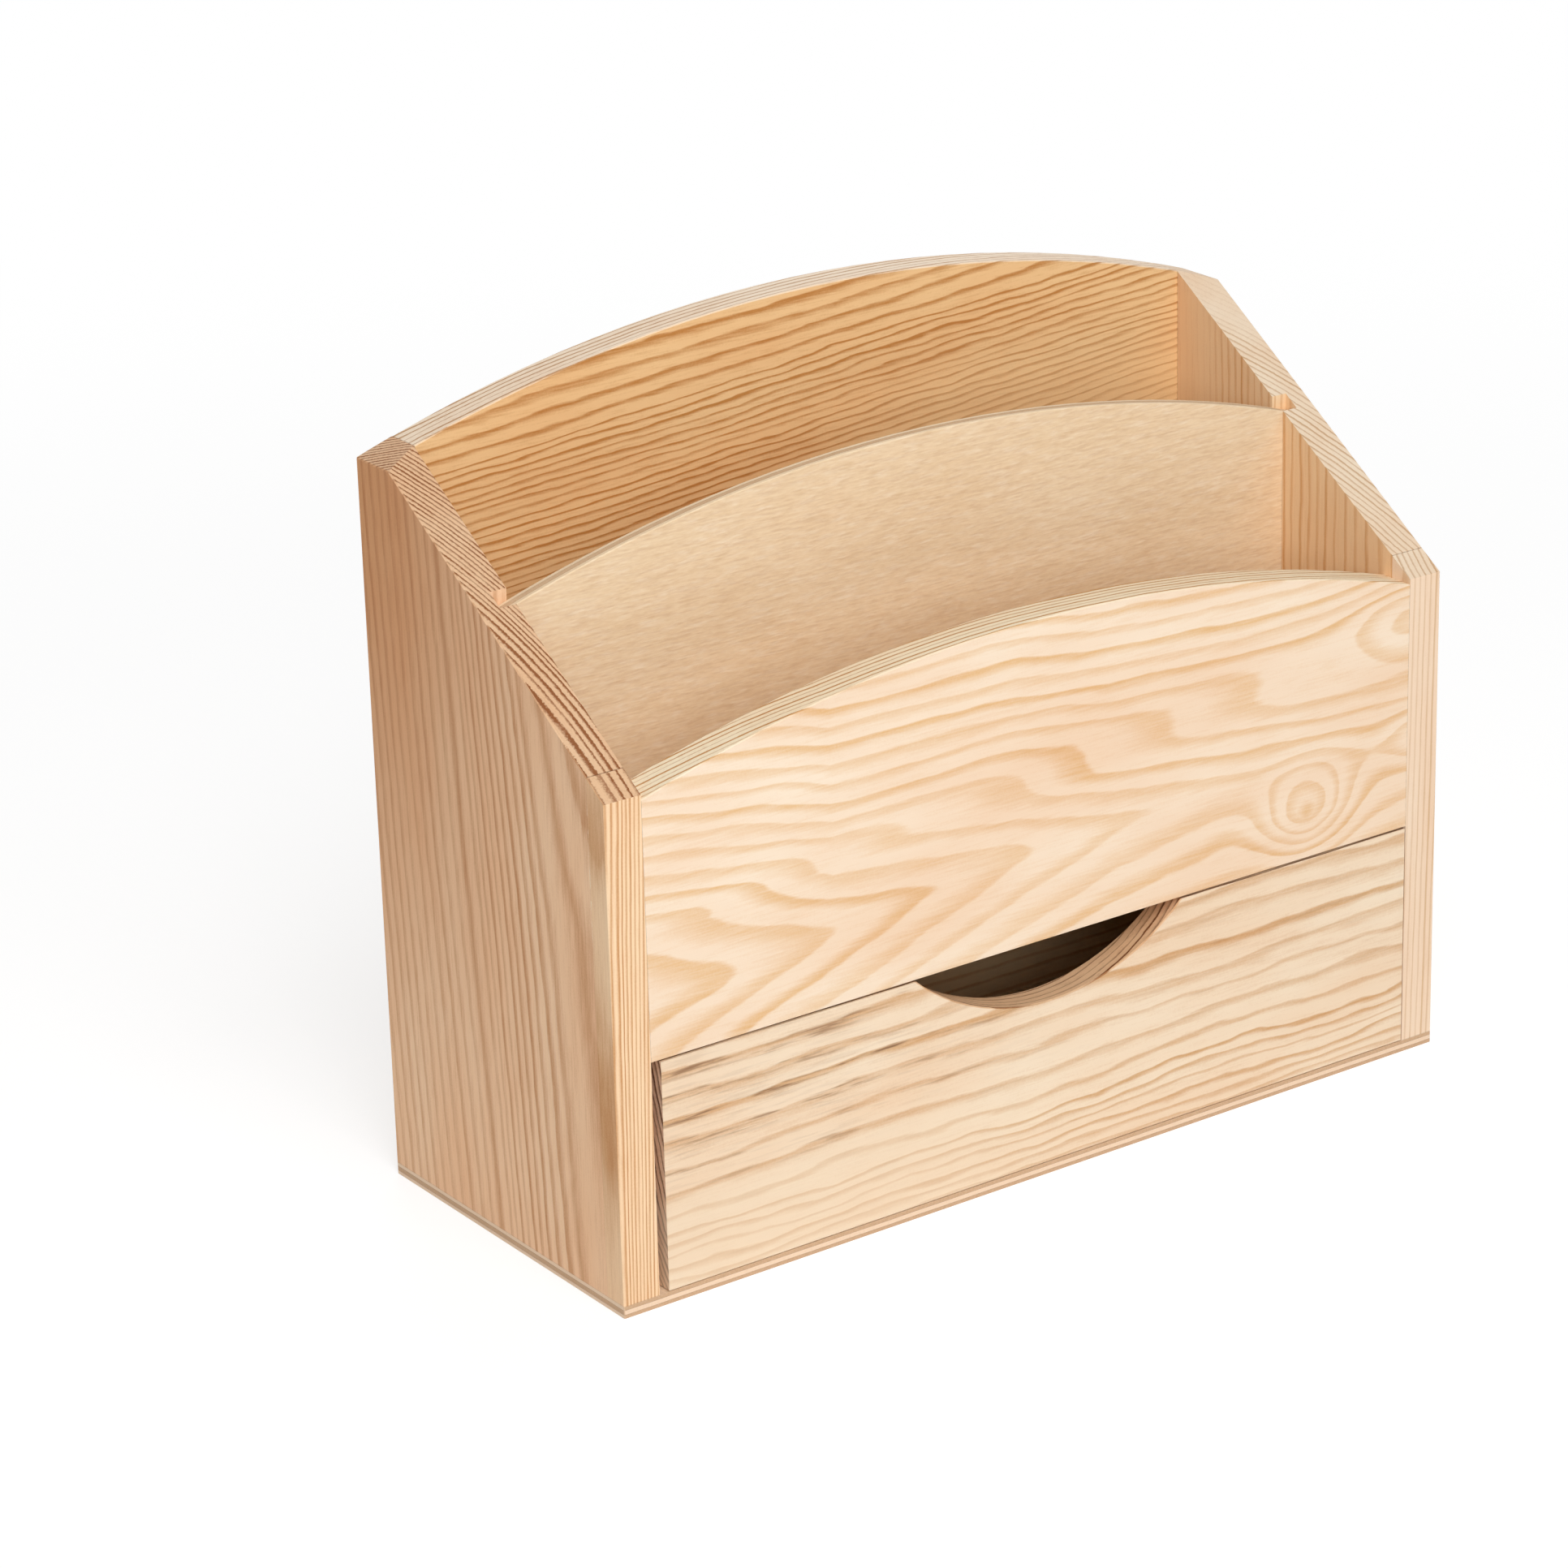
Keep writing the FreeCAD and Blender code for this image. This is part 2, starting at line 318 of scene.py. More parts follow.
    def surface(self, colour: Wire, normal: Wire, roughness: Amount, gloss: float,
                metal: float = 0.0) -> bpy.types.Material:
        """Finish the material.

        Args:
            colour: Base colour.
            normal: Shading normal.
            roughness: Roughness, a number or a wire.
            gloss: Strength of the clear reflection.
            metal: 1 for bare metal, otherwise 0.

        Returns:
            The finished material.
        """
        shader = self.tree.nodes.new("ShaderNodeBsdfPrincipled")
        self.tree.links.new(colour.socket, shader.inputs["Base Color"])
        self.tree.links.new(normal.socket, shader.inputs["Normal"])
        self.feed(shader.inputs["Roughness"], roughness)
        shader.inputs["Specular IOR Level"].default_value = gloss
        shader.inputs["Metallic"].default_value = metal
        output = self.tree.nodes.new("ShaderNodeOutputMaterial")
        self.tree.links.new(shader.outputs[0], output.inputs[0])
        return self.owner


@dataclass(frozen=True)
class Seam:
    """Thin dark line where two glued boards meet.

    The line lies in the plane where the axis has the value at, in millimetres.
    """

    axis: Axis
    at: float
    width: float = 0.22
    depth: float = 0.55
    outer_share: float = 1.0


@dataclass(frozen=True)
class Eye:
    """Round swelling of the year rings about a twig, in millimetres on the face.

    The heart is the radius of its filled middle, or 0 where it has none.
    """

    x: float
    z: float
    wide: float
    tall: float
    rings: float
    heart: float = 0.0


@dataclass(frozen=True)
class Accent:
    """Year ring that stands out: its number, its half width in rings and its strength."""

    ring: float
    span: float
    strength: float = 1.0


@dataclass(frozen=True)
class Ramp:
    """Smooth rise of an effect along an axis, in millimetres."""

    axis: Axis
    start: float
    end: float


@dataclass(frozen=True)
class Tone:
    """Broad change of colour that sets in along one or two axes, on faces of one direction or on all; it
    carries stains and also painted light.
    """

    tint: Tint
    ramps: Tuple[Ramp, ...]
    way: Paint = Paint.DARKEN
    strength: float = 1.0
    facing: Optional[Axis] = None


@dataclass(frozen=True)
class GlueBeads:
    """Pale beads of dried glue along an upright joint in a side's outer face, in millimetres."""

    y: float
    low: float
    high: float
    half_width: float = 0.3


@dataclass(frozen=True)
class Scorch:
    """Browned wood on the round cut of a hole saw, in millimetres."""

    x: float
    z: float
    radius: float
    reach: float = 0.4


@dataclass(frozen=True)
class Texture:
    """Fine pattern of a wood: its wave lengths in millimetres, its place in the noise and its detail.

    Where the step is given, the pattern is 0 below its first number and 1 above its second.
    """

    across: float
    along: float
    shift: float
    detail: float = 2.0
    step: Optional[Tuple[float, float]] = None


FIBRES = Texture(0.5, 9.0, 3.0, 4.0)
STREAKS = Texture(1.8, 60.0, 9.0, 3.0)
BLOTCHES = Texture(18.0, 60.0, 17.0)
FLECKS = Texture(0.4, 3.5, 23.0, step=(0.75, 1.15))
PITS = Texture(0.5, 0.5, 29.0, 3.0)
TORN_RINGS = Texture(0.9, 13.0, 33.0, 3.0)
PATCHES = Texture(7.0, 7.0, 71.0, 3.0)
VENEER_FIBRES = Texture(0.6, 9.0, 3.0, 4.0)
VENEER_FLECKS = Texture(0.7, 6.0, 8.0, 3.0, (-0.3, 0.8))
VENEER_SHINE = Texture(0.8, 5.0, 10.0, 3.0, (-0.1, 0.9))
VENEER_SHORTS = Texture(0.5, 2.4, 14.0, 3.0)

# How squarely a face has to point along an axis before a finish sets in, and before it is full.
END_TURN = (0.45, 0.75)
TOP_TURN = (0.55, 0.8)
TONE_TURN = (0.6, 0.9)
VENEER_TURN = (0.4, 0.7)

# A ring number that no board reaches.
BEYOND_BARK = 900.0

PINE_STAIN = Tint("f0cba8")
FLECK_BROWN = Tint("bd8f62")
TORN_BROWN = Tint("8f6a4c")
GLUE_LINE = Tint("6e4a30")
GLUE_BEAD = Tint("fff3dc")
VENEER_STAIN = Tint("f3d3b0")
VENEER_BROWN = Tint("d0a880")
VENEER_LIGHT = Tint("fff0da")
LAYER_GLUE = Tint("8a6340")


class Grained:
    """Wood whose fine patterns run with its grain."""

    grain: Axis
    seed: float

    def stretch(self, across: float, along: float) -> Triple:
        """Return wave lengths that are long with the grain and short across it."""
        return tuple(along if axis is self.grain else across for axis in Axis)

    def pattern(self, sketch: Sketch, place: Place, texture: Texture) -> Wire:
        """Return a fine pattern of the wood.

        Args:
            sketch: The material's graph.
            place: The surface point.
            texture: Which pattern.

        Returns:
            Noise between about -1 and 1, or between 0 and 1 where the pattern has a step.
        """
        reach = self.stretch(texture.across, texture.along)
        noise = sketch.cloud(place, reach, self.seed + texture.shift, texture.detail)
        return noise.rise(*texture.step) if texture.step else noise


@dataclass(frozen=True)
class Pine(Grained):
    """Raw sanded pine. Each kind of board says how its year rings lie."""

    name: str
    early: Tint
    late: Tint
    grain: Axis
    end_early: Tint = Tint("e8cbaa")
    end_late: Tint = Tint("b98d66")
    top_early: Tint = Tint("f0dabd")
    top_late: Tint = Tint("dcb98f")
    onset: float = 0.42
    onset_range: float = 0.2
    crest_from: float = 0.83
    crest_to: float = 0.87
    weakest_ring: float = 0.6
    ring_range: float = 0.55
    contrast: float = 1.0
    seed: float = 0.0
    end_contrast: float = 1.2
    end_onset: float = 0.0
    top_contrast: float = 1.0
    feather: float = 0.07
    fibrous: float = 0.22
    paired_from: float = BEYOND_BARK
    paired_fade: float = 0.0
    sparse_to: float = 0.0
    sparse_share: float = 0.6
    fade_from: float = BEYOND_BARK
    fade_to: float = BEYOND_BARK + 90.0
    accents: Tuple[Accent, ...] = ()
    tones: Tuple[Tone, ...] = ()
    seams: Tuple[Seam, ...] = ()
    scorch: Optional[Scorch] = None
    beads: Optional[GlueBeads] = None
    scorch_tint: Tint = Tint("e2c3a4")
    streak_share: float = 0.14
    pit_share: float = 0.12
    stain_share: float = 0.36
    relief: float = 0.06
    roughness: float = 0.72
    gloss: float = 0.25

    def rings(self, sketch: Sketch, place: Place) -> Wire:
        """Return the number of the year ring at each point; each kind of board has its own."""
        raise NotImplementedError

    def latewood(self, sketch: Sketch, ring: Wire, accented: bool = True, delay: float = 0.0) -> Wire:
        """Return how dark the ring is, from spring wood at 0 to autumn wood at 1.

        Args:
            sketch: The material's graph.
            ring: Number of the ring, with its fraction.
            accented: Whether the face's strongest and faded rings are drawn.
            delay: How much later in the ring the autumn wood sets in.

        Returns:
            The darkness of the wood.
        """
        share = ring.fraction()
        number = ring.floor()
        start = sketch.dice(number, self.seed + 7.0) * self.onset_range + (self.onset + delay)
        swell = share.rise(start, self.crest_from)
        fall = share.rise(self.crest_to, 1.0)
        strength = sketch.dice(number, self.seed) * self.ring_range + self.weakest_ring
        late = swell * (1.0 - fall) * strength
        late = late * (1.0 - ring.rise(self.fade_from, self.fade_to) * 0.8)
        if not accented:
            return late
        late = late * (1.0 - ring.rise(self.paired_from - 3.0, self.paired_from + 1.0) * self.paired_fade)
        for accent in self.accents:
            mark = ((ring - accent.ring) / accent.span).squared().falling()
            late = late.at_least(mark * accent.strength)
        return late

    def face_ring(self, ring: Wire) -> Wire:
        """Return the ring number as a face shows it: far from the pith two rings look like one."""
        return ring - (ring - self.paired_from).at_least(0.0) * 0.5

    def cut_ring(self, ring: Wire) -> Wire:
        """Return the ring number as an end shows it: near the pith the rings stand wider apart."""
        return ring.at_most(self.sparse_to) * self.sparse_share + (ring - self.sparse_to).at_least(0.0)

    def hearts(self, place: Place) -> Amount:
        """Return how dark the filled middles of the knots are; plain boards have none."""
        return 0.0

    def toned(self, sketch: Sketch, place: Place, colour: Wire) -> Wire:
        """Return the colour with the board's broad tones over it, stains and painted light.

        Args:
            sketch: The material's graph.
            place: The surface point.
            colour: Colour of the wood.

        Returns:
            The toned colour.
        """
        for tone in self.tones:
            amount: Amount = tone.strength
            if tone.facing is not None:
                amount = sketch.facing(tone.facing).rise(*TONE_TURN) * tone.strength
            for ramp in tone.ramps:
                amount = place.along(ramp.axis).rise(ramp.start, ramp.end) * amount
            colour = sketch.paint(amount, colour, tone.tint, tone.way)
        return colour

    def beaded(self, sketch: Sketch, place: Place) -> Amount:
        """Return how much dried glue lies on each point."""
        if self.beads is None:
            return 0.0
        beads = self.beads
        dash = sketch.cloud(place, (1.0, 1.0, 3.0), self.seed + 61.0, 3.0)
        near = 1.0 - (place.y - beads.y + dash * 0.1).size().rise(beads.half_width * 0.4, beads.half_width)
        span = place.z.rise(beads.low, beads.low + 8.0) * (1.0 - place.z.rise(beads.high - 6.0, beads.high))
        return near * span * dash.rise(-0.1, 0.5) * sketch.facing(Axis.X)

    def seam_lines(self, sketch: Sketch, place: Place) -> Wire:
        """Return how dark the glue lines are at each point."""
        rough = sketch.cloud(place, (1.2, 1.2, 1.2), self.seed + 40.0)
        total = rough * 0.0
        for seam in self.seams:
            gap = (place.along(seam.axis) - seam.at).size() + rough * 0.09
            line = (1.0 - gap.rise(0.05, seam.width)) * seam.depth
            if seam.outer_share < 1.0:
                line = line * (1.0 - sketch.facing(Axis.X) * (1.0 - seam.outer_share))
            total = total.at_least(line)
        return total

    def scorched(self, place: Place) -> Amount:
        """Return how browned the wood is by the hole saw."""
        if self.scorch is None:
            return 0.0
        mark = self.scorch
        radius = ((place.x - mark.x).squared() + (place.z - mark.z).squared()).root()
        return 1.0 - (radius - mark.radius).size().rise(mark.reach * 0.4, mark.reach)

    def soiling(self, sketch: Sketch, place: Place, late: Wire) -> Amount:
        """Return how strongly dark fibres show; plain boards have none."""
        return 0.0

    def cut_latewood(self, sketch: Sketch, place: Place, ring: Wire, late: Wire, pit: Wire) -> Wire:
        """Return how dark the rings are on the board's ends.

        Args:
            sketch: The material's graph.
            place: The surface point.
            ring: Number of the ring, with its fraction.
            late: How dark the ring is on the faces.
            pit: Noise of the open pores.

        Returns:
            The darkness of the wood.
        """
        if self.sparse_to <= 0.0:
            return late
        rough = self.cut_ring(ring) + pit * 0.14
        patchy = self.pattern(sketch, place, PATCHES) * 0.5 + 0.95
        return self.latewood(sketch, rough, False, self.end_onset) * patchy

    def material(self) -> bpy.types.Material:
        """Return the board's finished material."""
        sketch = Sketch.of_material(self.name)
        place = sketch.place()
        tear = self.pattern(sketch, place, TORN_RINGS)
        ring = self.rings(sketch, place) + tear * self.feather
        late = self.latewood(sketch, self.face_ring(ring)).at_least(self.hearts(place))
        end = sketch.facing(self.grain).rise(*END_TURN)
        top = sketch.facing(Axis.Z).rise(*TOP_TURN)
        fibre = self.pattern(sketch, place, FIBRES)
        streak = self.pattern(sketch, place, STREAKS)
        blotch = self.pattern(sketch, place, BLOTCHES)
        fleck = self.pattern(sketch, place, FLECKS)
        pit = self.pattern(sketch, place, PITS)
        end_late = self.cut_latewood(sketch, place, ring, late, pit)
        speck = fibre * self.fibrous + streak * self.streak_share + pit * self.pit_share
        face = sketch.paint(late * self.contrast + speck, self.early, self.late)
        if self.grain is not Axis.Z:
            line = late.rise(0.3, 0.95) * self.top_contrast
            edge = sketch.paint(line + speck, self.top_early, self.top_late)
            face = sketch.paint(top, face, edge)
        grit = pit * 0.18 + streak * 0.1
        cut = sketch.paint(end_late * self.end_contrast + grit, self.end_early, self.end_late)
        colour = sketch.paint(end, face, cut)
        stain = (blotch * 0.7 + 0.5) * self.stain_share
        colour = sketch.paint(stain, colour, PINE_STAIN, Paint.DARKEN)
        colour = sketch.paint(fleck * (late * 0.5 + 0.12), colour, FLECK_BROWN)
        colour = sketch.paint(self.soiling(sketch, place, late), colour, TORN_BROWN)
        colour = self.toned(sketch, place, colour)
        colour = sketch.paint(self.scorched(place), colour, self.scorch_tint, Paint.DARKEN)
        seam = self.seam_lines(sketch, place)
        colour = sketch.paint(seam, colour, GLUE_LINE)
        colour = sketch.paint(self.beaded(sketch, place), colour, GLUE_BEAD)
        height = late * 0.35 + fibre * 0.20 + pit * 0.06 - seam
        roughness = self.roughness - late * 0.10
        return sketch.surface(colour, sketch.relief(height, self.relief), roughness, self.gloss)


@dataclass(frozen=True)
class LogPine(Pine):
    """Board whose rings are circles about a pith outside it, in millimetres."""

    pith: Tuple[float, float] = (0.0, 0.0)
    first_ring: float = 0.0
    first_share: float = 0.0
    ring: float = 1.7
    drift: float = 0.0
    drift_height: float = 93.0
    low_drift: Optional[float] = None
    low_drift_gain: float = 0.0
    low_drift_end: float = 15.0
    inner_ring: float = 1.9
    early_growth: float = 0.0
    early_from: float = 0.5
    early_to: float = 2.6
    wave: float = 0.5

    def rings(self, sketch: Sketch, place: Place) -> Wire:
        """Return the ring number from the distance to the pith.

        Args:
            sketch: The material's graph.
            place: The surface point.

        Returns:
            The number of the ring, with its fraction.
        """
        across = [axis for axis in Axis if axis is not self.grain]
        reach = [place.along(axis) - centre for axis, centre in zip(across, self.pith)]
        radius = (reach[0].squared() + reach[1].squared()).root()
        radius = radius - self.first_ring
        rise = place.along(self.grain) - self.drift_height
        low_drift = self.drift if self.low_drift is None else self.low_drift
        gain = radius.at_least(0.0).at_most(self.low_drift_end) * self.low_drift_gain
        radius = radius - rise.at_least(0.0) * self.drift - rise.at_most(0.0) * (gain + low_drift)
        sway = sketch.cloud(place, self.stretch(16.0, 46.0), self.seed)
        ripple = sketch.cloud(place, self.stretch(8.0, 15.0), self.seed + 5.0)
        beyond = radius + sway * self.wave + ripple * self.wave * 0.4
        count = beyond.at_least(0.0) / self.ring + beyond.at_most(0.0) / self.inner_ring
        return count - beyond.rise(self.early_from, self.early_to) * self.early_growth + self.first_share


@dataclass(frozen=True)
class LayeredPine(Pine):
    """Board whose rings lie nearly level, spaced apart in height and in depth."""

    turn_height: float = 0.0
    low_ring: float = 4.0
    high_ring: float = 4.0
    depth_ring: float = 2.0
    wave: float = 0.5
    tilt: float = 0.0
    sweep: float = 90.0
    ripple_share: float = 0.3

    def rings(self, sketch: Sketch, place: Place) -> Wire:
        """Return the ring number from height and depth."""
        sway = sketch.cloud(place, (self.sweep, 14.0, 14.0), self.seed)
        ripple = sketch.cloud(place, (18.0, 6.0, 5.0), self.seed + 5.0)
        level = place.z + place.x * self.tilt - self.turn_height
        level = level + sway * self.wave + ripple * self.wave * self.ripple_share
        count = level.at_most(0.0) / self.low_ring + level.at_least(0.0) / self.high_ring
        return count + place.y / self.depth_ring


@dataclass(frozen=True)
class SoiledPine(LayeredPine):
    """Layered board with short dark fibres where the planer tore it."""

    soil_right: float = 20.0
    soil_left: float = -70.0
    soil_low: float = 24.0
    soil_high: float = 34.0

    def soiling(self, sketch: Sketch, place: Place, late: Wire) -> Wire:
        """Return how strongly dark fibres show.

        Args:
            sketch: The material's graph.
            place: The surface point.
            late: Darkness of the year ring.

        Returns:
            The amount from 0 to 1.
        """
        dash = sketch.cloud(place, (14.0, 1.0, 0.9), self.seed + 51.0, 3.0).rise(-0.15, 0.55)
        patch = sketch.cloud(place, (40.0, 20.0, 7.0), self.seed + 57.0).rise(-0.6, 0.1)
        side = 1.0 - place.x.rise(self.soil_left, self.soil_right) * 0.85
        above = place.z.rise(self.soil_low, self.soil_high) * 0.85 + 0.15
        return dash * (late * 0.9 + 0.15) * patch * side * above


@dataclass(frozen=True)
class FiguredPine(Pine):
    """Flat-sawn front board: nested arrowheads, flames above them and eyes on the right."""

    fold_height: float = 82.0
    fold_from: float = -60.0
    fold_climb: float = 0.1
    fold_crest: float = 87.0
    crest_fall: float = 0.02
    arm_ring: float = 5.8
    low_ring: float = 8.0
    high_ring: float = 4.6
    arm_top: float = 95.0
    spread_from: float = -62.0
    spread: float = 0.12
    advance: float = 0.034
    advance_half_from: float = 20.0
    flame_height: float = 104.5
    flame_climb: float = 0.09
    flame_tall: float = 13.0
    flame_growth: float = 0.07
    flame_rings: float = 1.8
    flame_gain: float = 0.0125
    depth_ring: float = 1.75
    phase: float = 0.35
    sway_along: float = 2.6
    sway_up: float = 1.7
    fold_bluntness: float = 0.08
    ripple: float = 0.07
    eyes: Tuple[Eye, ...] = ()

    def rings(self, sketch: Sketch, place: Place) -> Wire:
        """Return the ring number of the figured face.

        Args:
            sketch: The material's graph.
            place: The surface point.

        Returns:
            The number of the ring, with its fraction.
        """
        x = place.x + sketch.cloud(place, (44.0, 40.0, 17.0), self.seed) * self.sway_along
        z = place.z + sketch.cloud(place, (46.0, 40.0, 15.0), self.seed + 2.0) * self.sway_up
        fold = ((x - self.fold_from) * self.fold_climb + self.fold_height).at_most(
            self.fold_crest - x * self.crest_fall)
        ring = (self.spread_from - x).at_least(0.0) * self.spread + self.arm_ring
        upper = (z.at_most(self.arm_top) - fold).at_least(0.0) / ring
        lower = (z - fold).at_most(0.0) / self.low_ring
        count = (upper.squared() + lower.squared() + self.fold_bluntness).root()
        count = count + (z - self.arm_top).at_least(0.0) / self.high_ring
        count = count + (x - (x - self.advance_half_from).at_least(0.0) * 0.5) * self.advance
        half = (x * self.flame_growth + self.flame_tall) * 0.5
        flame = z - (x * self.flame_climb + self.flame_height)
        count = count - (x * self.flame_gain + self.flame_rings) * flame.rise(half * -1.0, half)
        for eye in self.eyes:
            across = ((place.x - eye.x) / eye.wide).squared()
            up = ((place.z - eye.z) / eye.tall).squared()
            count = count + (across + up).falling() * eye.rings
        ripple = sketch.cloud(place, (14.0, 20.0, 5.5), self.seed + 5.0)
        return count + ripple * self.ripple + (place.y / self.depth_ring + self.phase)

    def hearts(self, place: Place) -> Amount:
        """Return how dark the filled middles of the knots are."""
        total: Amount = 0.0
        for eye in self.eyes:
            if eye.heart > 0.0:
                across = ((place.x - eye.x) / eye.heart).squared()
                up = ((place.z - eye.z) / eye.heart).squared()
                total = (across + up).falling() * 0.9 + total
        return total


@dataclass(frozen=True)
class Plywood(Grained):
    """Raw birch plywood: smooth veneer faces and edges of three crossed layers.

    The outer layers' fibres run along the grain axis, the middle layer's across them.
    """

    name: str
    veneer: Tint
    core: Tint
    thickness_axis: Axis
    low: float
    high: float
    grain: Axis = Axis.X
    seed: float = 0.0
    face_share: float = 0.31
    grain_tint: Tint = Tint("e4c499")
    glue: float = 0.75
    stain_share: float = 0.15
    fleck_share: float = 0.38
    shine_share: float = 0.42
    layer_blur: float = 0.02
    relief: float = 0.04
    roughness: float = 0.66
    gloss: float = 0.3

    def material(self) -> bpy.types.Material:
        """Return the sheet's finished material."""
        sketch = Sketch.of_material(self.name)
        place = sketch.place()
        fibre = self.pattern(sketch, place, VENEER_FIBRES)
        fleck = self.pattern(sketch, place, VENEER_FLECKS)
        shine = self.pattern(sketch, place, VENEER_SHINE)
        blotch = sketch.cloud(place, (60.0, 24.0, 26.0), self.seed + 12.0)
        figure = sketch.cloud(place, (40.0, 30.0, 11.0), self.seed + 19.0)
        short = self.pattern(sketch, place, VENEER_SHORTS)
        grain = fibre * 0.28 + short * 0.38 + figure * 0.18 + 0.33
        face = sketch.paint(grain, self.veneer, self.grain_tint)
        face = sketch.paint((blotch * 0.5 + 0.5) * self.stain_share, face, VENEER_STAIN, Paint.DARKEN)
        face = sketch.paint(fleck * self.fleck_share, face, VENEER_BROWN)
        face = sketch.paint(shine * self.shine_share, face, VENEER_LIGHT)
        edge_on = 1.0 - sketch.facing(self.thickness_axis).rise(*VENEER_TURN)
        share = (place.along(self.thickness_axis) - self.low) / (self.high - self.low)
        share = share + sketch.cloud(place, (9.0, 9.0, 9.0), self.seed + 31.0) * 0.02
        low, high, blur = self.face_share, 1.0 - self.face_share, self.layer_blur
        in_core = share.rise(low - blur, low + blur)
        in_core = in_core * (1.0 - share.rise(high - blur, high + blur))
        pore = sketch.cloud(place, (0.5, 0.5, 0.5), self.seed + 37.0)
        crossed = [axis for axis in Axis if axis not in (self.thickness_axis, self.grain)][0]
        cut = in_core * sketch.facing(crossed) + (1.0 - in_core) * sketch.facing(self.grain)
        layer = sketch.paint(cut * 0.85 + pore * 0.15 + fibre * 0.1, self.veneer, self.core)
        glue = in_core * (1.0 - in_core) * 4.0
        layer = sketch.paint(glue * self.glue, layer, LAYER_GLUE)
        colour = sketch.paint(edge_on, face, layer)
        height = fibre * 0.3 - fleck * 0.3 - glue * edge_on * 0.6
        return sketch.surface(colour, sketch.relief(height, self.relief), self.roughness, self.gloss)


@dataclass(frozen=True)
class Steel:
    """Plain drawn steel of the panel pins."""

    name: str = "pin_steel"

    def material(self) -> bpy.types.Material:
        """Return the pins' finished material."""
        sketch = Sketch.of_material(self.name)
        place = sketch.place()
        draw = sketch.cloud(place, (0.2, 0.2, 4.0), 2.0)
        colour = sketch.paint(draw * 0.3 + 0.5, Tint("b9b6b0"), Tint("8f8b84"))
        return sketch.surface(colour, sketch.relief(draw, 0.01), 0.38, 0.5, 1.0)


def dress(node: str, material: bpy.types.Material) -> None:
    """Give a packed board its material and report it.

    Args:
        node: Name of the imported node.
        material: Finish of all its faces.
    """
    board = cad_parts[node]
    board.data.materials.clear()
    board.data.materials.append(material)
    low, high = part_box(node)
    size = (high - low) * PER_METRE
    log.info("%s: %.1f x %.1f x %.1f mm, %s", node, size.x, size.y, size.z, material.name)


def span_of(node: str, axis: Axis) -> Tuple[float, float]:
    """Return where a board's box begins and ends along an axis, in millimetres.

    Args:
        node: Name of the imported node.
        axis: Direction along which the box is read.

    Returns:
        The smaller and the larger coordinate.
    """
    low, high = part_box(node)
    return low[axis.value] * PER_METRE, high[axis.value] * PER_METRE


